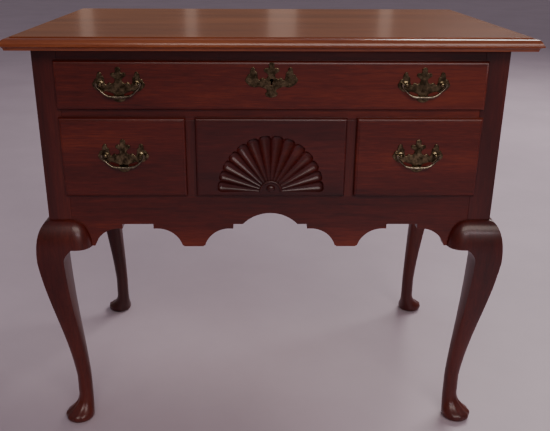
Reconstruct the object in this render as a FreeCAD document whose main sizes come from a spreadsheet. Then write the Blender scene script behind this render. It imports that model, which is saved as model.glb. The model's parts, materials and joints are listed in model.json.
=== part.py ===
import FreeCAD, Part
import math
import os
import Sketcher
from FreeCAD import Placement, Rotation, Vector

# A Queen Anne lowboy in millimetres, +Z up, its front facing -Y.
# The origin is on the floor, in the middle of the whole piece's outline.
# Pieces are drawn in the case's frame, where X = 0 is the middle of the
# front and Y = 0 is its face, or in a frame of their own corner, and each
# is then put in place by its Placement.

DRIVING_SIZES = {
    # the case
    "total_height": 762,        # floor to top surface
    "case_width": 798,
    "case_depth": 495,
    "post_size": 41,            # square corner posts
    "ledge_height": 437,        # where the posts end and the knees begin
    "top_thickness": 21,
    "top_overhang": 40,         # past the case at the front and sides
    "top_back_overhang": 12,
    "edge_step": 2,             # the moulded edge, from the top down
    "edge_shelf": 1.6,
    "ovolo_reach": 12.8,
    "ovolo_drop": 9.5,
    "edge_nose": 2.5,
    # rails, dividers and panels
    "top_rail_height": 25,
    "blade_thickness": 19,
    "rail_depth": 45,
    "apron_thickness": 22,
    "divider_width": 27,
    "panel_thickness": 19,
    "back_thickness": 12,
    "back_inset": 4,
    "tenon_length": 9,
    "tenon_thickness": 8,
    "tenon_shoulder": 4,
    "joint_gap": 0.15,
    # drawer openings
    "long_opening": 77,
    "small_opening": 136,
    "centre_opening": 251,
    # the scalloped lower edge of the apron and the side panels
    "scallop_top": 428.3,
    "scallop_step": 8.8,
    "scallop_foot": 386,
    "cove_reach": 44.5,
    "cove_flat": 7.5,
    "pendant_middle": 139.5,    # from the middle of the front
    "pendant_width": 36,
    "pendant_shoulder": 2.5,
    "pendant_riser": 1.5,
    "arch_half": 49.5,
    "arch_rise": 21.3,
    "wing_width": 38,           # level stretch of the edge beside a leg
    # legs and knee blocks
    "knee_reach": 25,
    "knee_height": 360,
    "knee_inner": 26,
    "ankle_height": 92,
    "ankle_radius": 14,
    "ankle_inset": 27.5,
    "pad_radius": 28,
    "pad_inset": 15,
    "pad_height": 9,
    "knee_block_width": 32.5,
    "knee_block_height": 43.7,
    "knee_block_edge": 4,
    # runners, guides, glue blocks and screws
    "runner_width": 42,
    "runner_height": 19,
    "centre_runner_width": 60,
    "guide_height": 20,
    "block_size": 20,
    "block_height": 60,
    "screw_radius": 2.2,
    "screw_bite": 13,
    "screw_head_radius": 4.5,
    "screw_head_height": 3,
    "screw_inset": 80,
    "screw_gap": 0.05,
    # drawers
    "lip_overlap": 5.5,
    "lip_thickness": 9.5,
    "lip_roundover": 5,
    "lip_step": 0.8,
    "front_thickness": 22,
    "drawer_clearance": 1,
    "rest_gap": 0.3,
    "side_thickness": 11,
    "rabbet_depth": 9.5,
    "drawer_length": 440,
    "bottom_thickness": 6,
    "bottom_height": 9,
    "groove_depth": 5,
    "back_drop": 4,
    # the carved fan
    "fan_radius": 96,
    "fan_height": 10,           # its base line above the opening's floor
    "fan_hub": 17,
    "flute_depth": 4.5,         # at the rim
    "gouge_radius": 12,
    # brasses
    "long_pull_rise": 6.5,      # posts above the middle of the long drawer
    "small_pull_rise": 9,
    "keyhole_rise": 12.5,
    "plate_half": 44,
    "plate_top": 27,
    "plate_bottom": 28.5,
    "plate_thickness": 1.6,
    "plate_drop": 2,            # middle of a plate below its posts
    "pull_spacing": 60,
    "post_radius": 3.2,
    "post_length": 9,
    "post_base_radius": 5.5,
    "post_base": 1.6,
    "shank_radius": 2.1,
    "shank_gap": 0.1,
    "shank_end": 6,             # shank behind the drawer front
    "nut_size": 9,
    "nut_thickness": 4,
    "pivot_reach": 6,           # bail pivot in front of the plate
    "pivot_radius": 1.4,
    "pivot_gap": 0.05,
    "bail_radius": 2.1,
    "bail_overhang": 6.4,       # bail's ends past the posts
    "bail_corner": 14,
    "eye_radius": 2.6,          # round the bail's end at its pin
    "lock_width": 50,
    "lock_height": 38,
    "lock_thickness": 9,
    "keyhole_radius": 3,
    "keyhole_slot": 8,
}

FLUTES = 14
FLUTE_FLATS = 20        # round the gouge that cuts a flute
LEG_FLATS = 3           # on each of a leg's four sides
POST_FLATS = 10         # round a pull's post
BAR_FLATS = 8           # round a bail, a pin, a shank or a screw
ROUND = math.sqrt(0.5)  # squareness at which a cushion section is a circle

DOCUMENT = FreeCAD.newDocument("lowboy")
SHEET = DOCUMENT.addObject("Spreadsheet::Sheet", "sizes")
SUB_PARTS = []


class Size:
    """A length that carries its number and the sheet formula that gives it."""

    def __init__(self, number, formula):
        self.number = float(number)
        self.formula = formula

    @staticmethod
    def of(value):
        if isinstance(value, Size):
            return value
        return Size(value, repr(round(float(value), 6)))

    def joined(self, sign, other, number):
        return Size(number, f"({self.formula} {sign} {Size.of(other).formula})")

    def __add__(self, other):
        return self.joined("+", other, self.number + Size.of(other).number)

    def __sub__(self, other):
        return self.joined("-", other, self.number - Size.of(other).number)

    def __mul__(self, other):
        return self.joined("*", other, self.number * Size.of(other).number)

    def __truediv__(self, other):
        return self.joined("/", other, self.number / Size.of(other).number)

    def __radd__(self, other):
        return Size.of(other) + self

    def __rsub__(self, other):
        return Size.of(other) - self

    def __rmul__(self, other):
        return Size.of(other) * self

    def __neg__(self):
        return Size(-self.number, f"(-{self.formula})")


class Sizes:
    """The driving sizes, read as size.case_width."""

    def __init__(self, values):
        self.__dict__.update(values)


def fill_sheet():
    """Writes each driving size to its own row and gives back the sizes by name."""
    values = {}
    for row, (alias, number) in enumerate(DRIVING_SIZES.items(), start=1):
        SHEET.set(f"A{row}", alias.replace("_", " "))
        SHEET.set(f"B{row}", str(number))
        SHEET.setAlias(f"B{row}", alias)
        values[alias] = Size(number, f"sizes.{alias}")
    DOCUMENT.recompute()
    return Sizes(values)


size = fill_sheet()

# Heights and places that follow from the driving sizes.
HALF_WIDTH = size.case_width / 2
CASE_TOP = size.total_height - size.top_thickness
LONG_TOP = CASE_TOP - size.top_rail_height
LONG_FLOOR = LONG_TOP - size.long_opening
SMALL_TOP = LONG_FLOOR - size.blade_thickness
SMALL_FLOOR = SMALL_TOP - size.small_opening
POST_INNER = HALF_WIDTH - size.post_size
PANEL_INNER = HALF_WIDTH - size.panel_thickness
REAR_POST = size.case_depth - size.post_size
BACK_FRONT = size.case_depth - size.back_inset - size.back_thickness
CENTRE_HALF = size.centre_opening / 2
DIVIDER_OUTER = CENTRE_HALF + size.divider_width
FRONT_Y = -(size.case_depth + size.knee_reach - size.top_overhang) / 2
REAR_Y = FRONT_Y + size.case_depth
FRONT_FACE = -(size.lip_thickness + size.rest_gap)
BACK_FACE = FRONT_FACE + size.front_thickness
LONG_MIDDLE = (LONG_FLOOR + LONG_TOP) / 2
SMALL_MIDDLE = (SMALL_FLOOR + SMALL_TOP) / 2
FAN_MIDDLE = SMALL_FLOOR + size.fan_height


# ---- lengths -------------------------------------------------------------

def root(value):
    """The square root of a size."""
    return Size(math.sqrt(value.number), f"sqrt({value.formula})")


def easing_radius(reach, rise):
    """Radius of an arc that starts level and climbs by rise over reach."""
    return (reach * reach + rise * rise) / (rise * 2)


def ordered(low, high):
    """The two ends of a span in rising order."""
    low, high = Size.of(low), Size.of(high)
    return (low, high) if low.number <= high.number else (high, low)


def both_sides(low, high):
    """A span across the case and its mirror image."""
    return [(-high, -low), (low, high)]


# ---- features ------------------------------------------------------------

def bind(thing, name, value):
    """Ties one property of an object to the sheet."""
    thing.setExpression(name, Size.of(value).formula)


def pattern_body(label):
    """A shape that several sub-parts start from, drawn once about the origin."""
    body = DOCUMENT.addObject("PartDesign::Body", label)
    body.Label = label
    return body


def new_body(label, x=0, y=FRONT_Y, z=0, turn=0, pattern=None):
    """A sub-part with its frame at a point, turned about the vertical."""
    body = pattern_body(label)
    if pattern:
        body.BaseFeature = pattern
    body.Placement = Placement(Vector(0, 0, 0), Rotation(Vector(0, 0, 1), turn))
    bind(body, "Placement.Base.x", x)
    bind(body, "Placement.Base.y", y)
    bind(body, "Placement.Base.z", z)
    SUB_PARTS.append(body)
    return body


def box(body, kind, x_span, y_span, z_span):
    """Adds or cuts a block between two corners of a body."""
    block = body.newObject(f"PartDesign::{kind}Box", f"{body.Label}_block")
    spans = (("Length", "x", x_span), ("Width", "y", y_span), ("Height", "z", z_span))
    for side, axis, (low, high) in spans:
        low, high = ordered(low, high)
        bind(block, side, high - low)
        bind(block, f"Placement.Base.{axis}", low)
    return block


def add(body, x_span, y_span, z_span):
    return box(body, "Additive", x_span, y_span, z_span)


def cut(body, x_span, y_span, z_span):
    return box(body, "Subtractive", x_span, y_span, z_span)


def rod(body, kind, radius, centre, span, axis="z", flats=BAR_FLATS):
    """Adds or cuts a bar of so many flats, its centre given across the axis.

    The bar's edges lie at the radius, and the flats of a bore just touch it."""
    low, high = ordered(*span)
    if kind == "Subtractive":
        radius = radius / math.cos(math.pi / flats)
    bar = body.newObject(f"PartDesign::{kind}Prism", f"{body.Label}_rod")
    bar.Polygon = flats
    bind(bar, "Circumradius", radius)
    bind(bar, "Height", high - low)
    turns = {
        "z": (Rotation(), ("x", "y", "z")),
        "y": (Rotation(Vector(1, 0, 0), -90), ("x", "z", "y")),
        "x": (Rotation(Vector(0, 1, 0), 90), ("y", "z", "x")),
    }
    turn, names = turns[axis]
    bar.Placement = Placement(Vector(0, 0, 0), turn)
    for name, value in zip(names, (*centre, low)):
        bind(bar, f"Placement.Base.{name}", value)
    return bar


def pad(body, sketch, length, reverse=False):
    feature = body.newObject("PartDesign::Pad", f"{body.Label}_pad")
    feature.Profile = sketch
    feature.Reversed = reverse
    bind(feature, "Length", length)
    return feature


def pocket_through(body, sketch, length):
    """Cuts a sketch's outline away on both sides of its plane."""
    feature = body.newObject("PartDesign::Pocket", f"{body.Label}_pocket")
    feature.Profile = sketch
    feature.Midplane = True
    bind(feature, "Length", length)
    return feature


# ---- sketches ------------------------------------------------------------

def sketch_on(body, plane, offset=0):
    """A sketch on one of the body's own planes, raised by an offset."""
    planes = {feature.Role: feature for feature in body.Origin.OriginFeatures}
    sketch = body.newObject("Sketcher::SketchObject", f"{body.Label}_sketch")
    sketch.AttachmentSupport = [(planes[plane], "")]
    sketch.MapMode = "FlatFace"
    bind(sketch, "AttachmentOffset.Base.z", offset)
    return sketch


def tie(sketch, dimensions):
    """Adds dimensions to a sketch and binds each one to the sheet."""
    first = sketch.ConstraintCount
    sketch.addConstraint([Sketcher.Constraint(*kind, value.number) for kind, value in dimensions])
    for index, (kind, value) in enumerate(dimensions, start=first):
        name = f"size_{index}"
        sketch.renameConstraint(index, name)
        sketch.setExpression(f"Constraints.{name}", value.formula)


def from_origin(edge, end, corner):
    """The two dimensions that set where one end of an edge lies."""
    return [
        (("DistanceX", -1, 1, edge, end), corner[0]),
        (("DistanceY", -1, 1, edge, end), corner[1]),
    ]


def arc_between(start, end, bend):
    """The short arc from start to end; a positive bend turns to the left."""
    chord = end - start
    half = chord.Length / 2
    left = Vector(-chord.y, chord.x, 0).normalize()
    rise = math.sqrt(max(bend * bend - half * half, 0))
    centre = (start + end) / 2 + left * math.copysign(rise, bend)
    angles = [math.atan2(point.y - centre.y, point.x - centre.x) for point in (start, end)]
    if bend < 0:
        angles.reverse()
    circle = Part.Circle(centre, Vector(0, 0, 1), abs(bend))
    return Part.ArcOfCircle(circle, angles[0], angles[1])


def outline(sketch, corners, closed=True):
    """Draws a chain of lines and arcs.

    A corner is (x, y), or (x, y, bend) where an arc leaves it: the bend is
    the arc's radius, positive where it turns to the left."""
    corners = [tuple(Size.of(value) for value in corner) for corner in corners]
    points = [Vector(corner[0].number, corner[1].number, 0) for corner in corners]
    first = sketch.GeometryCount
    count = len(corners) if closed else len(corners) - 1
    edges, ends, links, dimensions = [], [], [], []
    for number in range(count):
        start, end = points[number], points[(number + 1) % len(points)]
        bend = corners[number][2].number if len(corners[number]) > 2 else 0
        edges.append(arc_between(start, end, bend) if bend else Part.LineSegment(start, end))
        ends.append((2, 1) if bend < 0 else (1, 2))
        if bend:
            radius = corners[number][2]
            dimensions.append((("Radius", first + number), radius if bend > 0 else -radius))
    for number in range(count):
        dimensions += from_origin(first + number, ends[number][0], corners[number])
        if number or closed:
            before = (number - 1) % count
            link = (first + before, ends[before][1], first + number, ends[number][0])
            links.append(Sketcher.Constraint("Coincident", *link))
    if not closed:
        dimensions += from_origin(first + count - 1, ends[-1][1], corners[-1])
    sketch.addGeometry(edges, False)
    sketch.addConstraint(links)
    tie(sketch, dimensions)


def mirror(corners):
    """The same chain of corners across the middle line, walked backwards."""
    chain = []
    for number in range(len(corners) - 1, -1, -1):
        bend = tuple(corners[number - 1][2:]) if number else ()
        chain.append((-Size.of(corners[number][0]), corners[number][1]) + bend)
    return chain


def even_outline(sketch, x, y, radius, flats):
    """A regular outline of so many flats about a centre."""
    turns = [2 * math.pi * number / flats for number in range(flats)]
    outline(sketch, [(x + radius * math.cos(turn), y + radius * math.sin(turn)) for turn in turns])


def turned_points(x, y, radius, start, step, count):
    """Corners of the flats that lie along an arc; each flat turns by a step,
    in degrees, and the first corner follows half a step after the start."""
    reach = radius / math.cos(math.radians(step / 2))
    turns = [math.radians(start + step * (number + 0.5)) for number in range(count)]
    return [(x + reach * math.cos(turn), y + reach * math.sin(turn)) for turn in turns]


# ---- the top board -------------------------------------------------------

def edge_profile(edge):
    """The moulded edge, from the flat of the top down to the underside.

    A step, an ovolo, the nose, and a cove back under the board; edge is how
    far out the nose lies."""
    flat = edge - size.edge_shelf * 2 - size.ovolo_reach
    shelf = size.total_height - size.edge_step
    nose_top = shelf - size.ovolo_drop
    nose_bottom = nose_top - size.edge_nose
    cove = nose_bottom - CASE_TOP
    ovolo = (size.ovolo_reach + size.ovolo_drop) / 2
    return [
        (flat, size.total_height),
        (flat, shelf),
        (flat + size.edge_shelf, shelf, -ovolo),
        (edge - size.edge_shelf, nose_top),
        (edge, nose_top),
        (edge, nose_bottom, cove),
        (edge - cove, CASE_TOP),
    ]


def screw_seats():
    """Where the four screws stand that hold the top board."""
    x = PANEL_INNER - size.runner_width / 2
    ends = (size.screw_inset, size.case_depth - size.screw_inset)
    return [(side * x, y) for side in (-1, 1) for y in ends]


def top_board():
    body = new_body("top_board")
    edge = HALF_WIDTH + size.top_overhang
    side = edge_profile(edge)
    sketch = sketch_on(body, "XZ_Plane", size.top_overhang)
    outline(sketch, side + mirror(side))
    depth = size.top_overhang + size.case_depth + size.top_back_overhang
    pad(body, sketch, depth, reverse=True)
    front = mirror(edge_profile(size.top_overhang))
    outside = -size.top_overhang * 2
    above = size.total_height + size.top_thickness
    below = CASE_TOP - size.top_thickness
    waste = [(front[0][0], below)] + front
    waste += [(front[-1][0], above), (outside, above), (outside, below)]
    sketch = sketch_on(body, "YZ_Plane")
    outline(sketch, waste)
    pocket_through(body, sketch, edge * 3)
    for seat in screw_seats():
        bore = size.screw_radius + size.screw_gap
        rod(body, "Subtractive", bore, seat, (CASE_TOP, CASE_TOP + size.screw_bite))


# ---- the legs ------------------------------------------------------------

def knee_swell(height):
    """How far a knee stands out of the case at a height above its widest."""
    rise = size.ledge_height - size.knee_height
    radius = easing_radius(rise, size.knee_reach)
    above = height - size.knee_height
    return size.knee_reach - radius + root(radius * radius - above * above)


def leg_stations():
    """Sections of a leg from the ledge to the floor.

    Each is its height, its outer and inner faces from the case's corner, and
    how square it is."""
    stations = []
    for share, squareness in ((0, 0.995), (0.5, 0.985), (1, 0.975)):
        height = size.ledge_height * (1 - share) + size.scallop_foot * share
        stations.append((height, -knee_swell(height), size.post_size, squareness))
    outer_ankle = size.ankle_inset - size.ankle_radius
    inner_ankle = size.ankle_inset + size.ankle_radius
    for share in (0, 0.2, 0.4, 0.6, 0.8, 1):
        knee = 0.6 * (1 - share) + 0.2 * (1 + math.cos(math.pi * share))
        ankle = 1 - knee
        height = size.knee_height * (1 - share) + size.ankle_height * share
        outer = outer_ankle * ankle - size.knee_reach * knee
        inner = size.knee_inner * knee + inner_ankle * ankle
        stations.append((height, outer, inner, 0.94 * knee + ROUND * ankle))
    # Pad foot: height in pad heights, growth from ankle to pad, slide outwards.
    foot = (
        (5.8, 0, 0),
        (4, 0.13, 0.13),
        (2.3, 0.47, 0.47),
        (1.45, 0.8, 0.8),
        (1, 1, 1),
        (0.33, 0.87, 1),
        (0, 0.56, 1),
    )
    for height, growth, slide in foot:
        radius = size.ankle_radius * (1 - growth) + size.pad_radius * growth
        middle = size.ankle_inset * (1 - slide) + size.pad_inset * slide
        stations.append((size.pad_height * height, middle - radius, middle + radius, ROUND))
    return stations


def cushion_section(sketch, outer, inner, squareness):
    """A square whose four sides bow out in flats, and soften it as the bow grows."""
    middle, half = (outer + inner) / 2, (inner - outer) / 2
    bow = 1 - squareness
    bend = (squareness ** 2 + bow ** 2) / (2 * bow)
    reach = math.asin(squareness / bend)
    side = []
    for step in range(LEG_FLATS):
        turn = reach * (2 * step / LEG_FLATS - 1)
        side.append((bend * math.sin(turn), bend * (1 - math.cos(turn)) - 1))
    corners = side + [(-y, x) for x, y in side] + [(-x, -y) for x, y in side]
    corners += [(y, -x) for x, y in side]
    outline(sketch, [(middle + half * x, middle + half * y) for x, y in corners])


def tenon_across(front, thickness):
    """Where a tenon lies through the thickness of a board that starts at front."""
    low = front + (thickness - size.tenon_thickness) / 2
    return low, low + size.tenon_thickness


FRONT_TENON = tenon_across(Size.of(0), size.apron_thickness)
SIDE_TENON = tenon_across(Size.of(0), size.panel_thickness)
BACK_TENON = tenon_across(size.back_inset, size.back_thickness)
RAIL_HEIGHTS = (LONG_TOP + size.tenon_shoulder, CASE_TOP - size.tenon_shoulder)
BLADE_HEIGHTS = (SMALL_TOP + size.tenon_shoulder, LONG_FLOOR - size.tenon_shoulder)
APRON_HEIGHTS = (size.ledge_height + size.tenon_shoulder, SMALL_FLOOR - size.tenon_shoulder)
PANEL_HEIGHTS = (size.ledge_height + size.tenon_shoulder, CASE_TOP - size.tenon_shoulder)


def cabriole():
    """A leg before its mortises: the square post and all that is carved below."""
    body = pattern_body("cabriole")
    sketches = []
    for height, outer, inner, squareness in leg_stations():
        sketch = sketch_on(body, "XY_Plane", height)
        cushion_section(sketch, outer, inner, squareness)
        sketches.append(sketch)
    loft = body.newObject("PartDesign::AdditiveLoft", "cabriole_loft")
    loft.Profile = sketches[0]
    loft.Sections = sketches[1:]
    loft.Ruled = True
    post = (0, size.post_size)
    add(body, post, post, (size.ledge_height, CASE_TOP))
    return body


def leg(label, pattern, corner, turn, x_face, y_face):
    """A cabriole leg cut with its corner post as one piece.

    x_face and y_face give the mortises of the post's two inner faces: where
    they lie across the face, and their heights."""
    body = new_body(label, *corner, turn, pattern)
    gap = size.joint_gap
    depth = (size.post_size - size.tenon_length - gap, size.post_size)
    for (across, heights), along_x in ((x_face, True), (y_face, False)):
        across = (across[0] - gap, across[1] + gap)
        for low, high in heights:
            spans = (depth, across) if along_x else (across, depth)
            cut(body, *spans, (low - gap, high + gap))


def legs():
    front = (FRONT_TENON, (RAIL_HEIGHTS, BLADE_HEIGHTS, APRON_HEIGHTS))
    side = (SIDE_TENON, (PANEL_HEIGHTS,))
    back = (BACK_TENON, (PANEL_HEIGHTS,))
    carved = cabriole()
    leg("leg_front_left", carved, (-HALF_WIDTH, FRONT_Y, 0), 0, front, side)
    leg("leg_front_right", carved, (HALF_WIDTH, FRONT_Y, 0), 90, side, front)
    leg("leg_rear_right", carved, (HALF_WIDTH, REAR_Y, 0), 180, back, side)
    leg("leg_rear_left", carved, (-HALF_WIDTH, REAR_Y, 0), 270, side, back)


def knee_block(label, corner, turn, side):
    """A shaped bracket that carries the line of a knee along the case."""
    body = new_body(label, *corner, turn=turn)
    width, edge = size.knee_block_width, size.knee_block_edge
    bottom = size.scallop_foot
    near, far = size.post_size, size.post_size + width
    clear = size.knee_reach * 2
    sketch = sketch_on(body, "XZ_Plane")
    curve = easing_radius(size.knee_block_height, width) * side
    outline(sketch, [
        (near * side, bottom),
        (far * side, bottom, curve),
        (near * side, bottom + size.knee_block_height),
    ])
    pad(body, sketch, size.knee_reach)
    sketch = sketch_on(body, "YZ_Plane")
    outline(sketch, [
        (0, size.ledge_height, easing_radius(size.ledge_height - size.knee_height, size.knee_reach)),
        (-size.knee_reach, size.knee_height),
        (-clear, size.knee_height),
        (-clear, size.ledge_height),
    ])
    pocket_through(body, sketch, far * 3)
    swell = knee_swell(bottom)
    sketch = sketch_on(body, "XY_Plane")
    outline(sketch, [
        (near * side, -swell, easing_radius(width, swell - edge) * -side),
        (far * side, -edge),
        ((far + edge) * side, -edge),
        ((far + edge) * side, -clear),
        (near * side, -clear),
    ])
    pocket_through(body, sketch, size.ledge_height * 3)


def knee_blocks():
    front_left, front_right = (-HALF_WIDTH, FRONT_Y), (HALF_WIDTH, FRONT_Y)
    rear_left, rear_right = (-HALF_WIDTH, REAR_Y), (HALF_WIDTH, REAR_Y)
    knee_block("knee_block_front_left", front_left, 0, 1)
    knee_block("knee_block_front_right", front_right, 0, -1)
    knee_block("knee_block_side_front_left", front_left, 270, -1)
    knee_block("knee_block_side_front_right", front_right, 90, 1)
    knee_block("knee_block_side_rear_right", rear_right, 90, -1)
    knee_block("knee_block_side_rear_left", rear_left, 270, 1)


# ---- the case ------------------------------------------------------------

SCALLOP_LOW = size.scallop_top - size.scallop_step
COVE_RADIUS = easing_radius(size.cove_reach, SCALLOP_LOW - size.scallop_foot)


def cove_down(foot_x):
    """Step, level stretch and cove that end at the foot of a wing or pendant."""
    step_x = foot_x - size.cove_reach - size.cove_flat
    return [
        (step_x, size.scallop_top),
        (step_x, SCALLOP_LOW),
        (step_x + size.cove_flat, SCALLOP_LOW, -COVE_RADIUS),
        (foot_x, size.scallop_foot),
    ]


def cove_up(foot_x):
    """The same shape climbing away from the foot of a pendant."""
    step_x = foot_x + size.cove_reach + size.cove_flat
    return [
        (foot_x, size.scallop_foot, -COVE_RADIUS),
        (step_x - size.cove_flat, SCALLOP_LOW),
        (step_x, SCALLOP_LOW),
        (step_x, size.scallop_top),
    ]


def wing(half, top):
    """The last cove, the level wing by a leg, and the board's end."""
    return cove_down(half - size.wing_width) + [(half, size.scallop_foot), (half, top)]


def end_tenons(body, half, across, heights):
    """Tenons on both ends of a board that reaches half to each side."""
    for side in (-1, 1):
        add(body, (half * side, (half + size.tenon_length) * side), across, heights)


def front_apron():
    body = new_body("front_apron")
    inner = size.pendant_middle - size.pendant_width / 2
    outer = size.pendant_middle + size.pendant_width / 2
    tip = size.scallop_foot - size.pendant_riser
    chain = [(size.arch_half, size.scallop_top)] + cove_down(inner - size.pendant_shoulder)
    chain += [(inner, size.scallop_foot), (inner, tip), (outer, tip), (outer, size.scallop_foot)]
    chain += cove_up(outer + size.pendant_shoulder) + wing(POST_INNER, SMALL_FLOOR)
    left = mirror(chain)
    left[-1] = left[-1][:2] + (-easing_radius(size.arch_half, size.arch_rise),)
    sketch = sketch_on(body, "XZ_Plane")
    outline(sketch, chain + left)
    pad(body, sketch, size.apron_thickness, reverse=True)
    end_tenons(body, POST_INNER, FRONT_TENON, APRON_HEIGHTS)


def rail(label, low, high, heights):
    body = new_body(label)
    add(body, (-POST_INNER, POST_INNER), (0, size.rail_depth), (low, high))
    end_tenons(body, POST_INNER, FRONT_TENON, heights)


def side_panel(label, x):
    body = new_body(label, x, (FRONT_Y + REAR_Y) / 2)
    half = size.case_depth / 2 - size.post_size
    chain = wing(half, CASE_TOP)
    sketch = sketch_on(body, "YZ_Plane")
    outline(sketch, chain + mirror(chain))
    pad(body, sketch, size.panel_thickness)
    for side in (-1, 1):
        add(body, SIDE_TENON, (half * side, (half + size.tenon_length) * side), PANEL_HEIGHTS)


def back_panel():
    body = new_body("back_panel")
    across = (BACK_FRONT, BACK_FRONT + size.back_thickness)
    add(body, (-POST_INNER, POST_INNER), across, (size.scallop_top, CASE_TOP))
    tenon = tenon_across(BACK_FRONT, size.back_thickness)
    end_tenons(body, POST_INNER, tenon, PANEL_HEIGHTS)


def case_boards():
    front_apron()
    rail("top_rail", LONG_TOP, CASE_TOP, RAIL_HEIGHTS)
    rail("middle_rail", SMALL_TOP, LONG_FLOOR, BLADE_HEIGHTS)
    side_panel("side_panel_left", -HALF_WIDTH)
    side_panel("side_panel_right", PANEL_INNER)
    back_panel()
    for name, side in (("left", -1), ("right", 1)):
        body = new_body(f"drawer_divider_{name}")
        span = (CENTRE_HALF * side, DIVIDER_OUTER * side)
        add(body, span, (0, size.apron_thickness), (SMALL_FLOOR, SMALL_TOP))


def strips(label, x_spans, y_span, z_span):
    """A sub-part of like strips, one for each span across the case."""
    body = new_body(label)
    for x_span in x_spans:
        add(body, x_span, y_span, z_span)
    return body


def inner_frame():
    """Runners that carry the drawers, guides beside them, kickers above."""
    outer = both_sides(PANEL_INNER - size.runner_width, PANEL_INNER)
    guide = both_sides(POST_INNER, PANEL_INNER)
    middle = (CENTRE_HALF + DIVIDER_OUTER) / 2
    half = size.centre_runner_width / 2
    centre = both_sides(middle - half, middle + half)
    divider = both_sides(CENTRE_HALF, DIVIDER_OUTER)
    behind_rail = (size.rail_depth, REAR_POST)
    behind_post = (size.post_size, REAR_POST)
    behind_apron = (size.apron_thickness, BACK_FRONT)
    long_runner = (LONG_FLOOR - size.runner_height, LONG_FLOOR)
    small_runner = (SMALL_FLOOR - size.runner_height, SMALL_FLOOR)
    long_guide = (LONG_FLOOR, LONG_FLOOR + size.guide_height)
    small_guide = (SMALL_FLOOR, SMALL_FLOOR + size.guide_height)
    strips("long_drawer_runners", outer, behind_rail, long_runner)
    strips("long_drawer_guides", guide, behind_rail, long_guide)
    strips("small_drawer_side_runners", outer, behind_post, small_runner)
    strips("small_drawer_side_guides", guide, behind_post, small_guide)
    strips("small_drawer_centre_runners", centre, behind_apron, small_runner)
    strips("small_drawer_centre_guides", divider, behind_apron, small_guide)
    kickers = strips("long_drawer_kickers", outer, behind_rail, (LONG_TOP, CASE_TOP))
    gap = size.screw_gap
    for seat in screw_seats():
        rod(kickers, "Subtractive", size.screw_radius + gap, seat, (LONG_TOP, CASE_TOP))
        head = (LONG_TOP, LONG_TOP + size.screw_head_height + gap)
        rod(kickers, "Subtractive", size.screw_head_radius + gap, seat, head)


def top_screws():
    body = new_body("top_screws")
    for seat in screw_seats():
        neck = LONG_TOP + size.screw_head_height
        rod(body, "Additive", size.screw_head_radius, seat, (LONG_TOP, neck))
        tip = CASE_TOP + size.screw_bite - size.screw_gap
        rod(body, "Additive", size.screw_radius, seat, (neck, tip))


def glue_blocks():
    """Blocks in the corners that hold the apron and panels to the posts."""
    body = new_body("glue_blocks")
    block = size.block_size
    middle = size.scallop_top
    heights = (middle - size.block_height / 2, middle + size.block_height / 2)
    upper = (middle, middle + size.block_height / 2)
    for side in (-1, 1):
        beside_post = (POST_INNER * side, (POST_INNER - block) * side)
        on_panel = (PANEL_INNER * side, (PANEL_INNER - block) * side)
        add(body, beside_post, (size.apron_thickness, size.apron_thickness + block), heights)
        add(body, on_panel, (size.post_size, size.post_size + block), heights)
        add(body, on_panel, (REAR_POST - block, REAR_POST), heights)
        add(body, beside_post, (BACK_FRONT - block, BACK_FRONT), upper)


# ---- the drawers ---------------------------------------------------------

class Opening:
    """A drawer's opening in the case, and where the drawer's boards lie."""

    def __init__(self, name, left, right, floor, top):
        self.name = name
        self.left, self.right, self.top = left, right, top
        clearance = size.drawer_clearance
        self.box_x = (left + clearance, right - clearance)
        self.box_z = (floor + size.rest_gap, top - clearance)
        side = size.side_thickness
        self.inner_x = (self.box_x[0] + side, self.box_x[1] - side)
        bottom = self.box_z[0] + size.bottom_height
        self.bottom_z = (bottom, bottom + size.bottom_thickness)


def lip_waste(sketch, low, high, across):
    """The corners cut off two opposite edges of a lip to mould them.

    across is true where the sketch's first axis runs along the front, and
    false where it runs from front to back."""
    round_over = size.lip_roundover
    shoulder = FRONT_FACE + size.lip_step
    clear = FRONT_FACE - size.lip_thickness
    for edge, outward in ((low, -1), (high, 1)):
        inner, outer = edge - round_over * outward, edge + round_over * outward
        corners = [
            (inner, clear),
            (inner, shoulder, round_over * outward),
            (edge, shoulder + round_over),
            (outer, shoulder + round_over),
            (outer, clear),
        ]
        if not across:
            swapped = [(corner[1], corner[0]) + corner[2:] for corner in corners]
            swapped[1] = swapped[1][:2] + (-swapped[1][2],)
            corners = swapped
        outline(sketch, corners)


def drawer_front(opening):
    """A lipped front with its moulded edge, rabbeted and grooved behind."""
    body = new_body(f"{opening.name}_front")
    left, right = opening.left - size.lip_overlap, opening.right + size.lip_overlap
    bottom, top = opening.box_z[0], opening.top + size.lip_overlap
    add(body, (left, right), (FRONT_FACE, -size.rest_gap), (bottom, top))
    add(body, opening.box_x, (-size.rest_gap, BACK_FACE), opening.box_z)
    sketch = sketch_on(body, "XY_Plane")
    lip_waste(sketch, left, right, True)
    pocket_through(body, sketch, size.total_height * 3)
    sketch = sketch_on(body, "YZ_Plane")
    lip_waste(sketch, bottom, top, False)
    pocket_through(body, sketch, size.case_width * 3)
    for outer, inner in zip(opening.box_x, opening.inner_x):
        cut(body, (outer, inner), (BACK_FACE - size.rabbet_depth, BACK_FACE), opening.box_z)
    cut(body, opening.inner_x, (BACK_FACE - size.groove_depth, BACK_FACE), opening.bottom_z)
    return body


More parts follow.
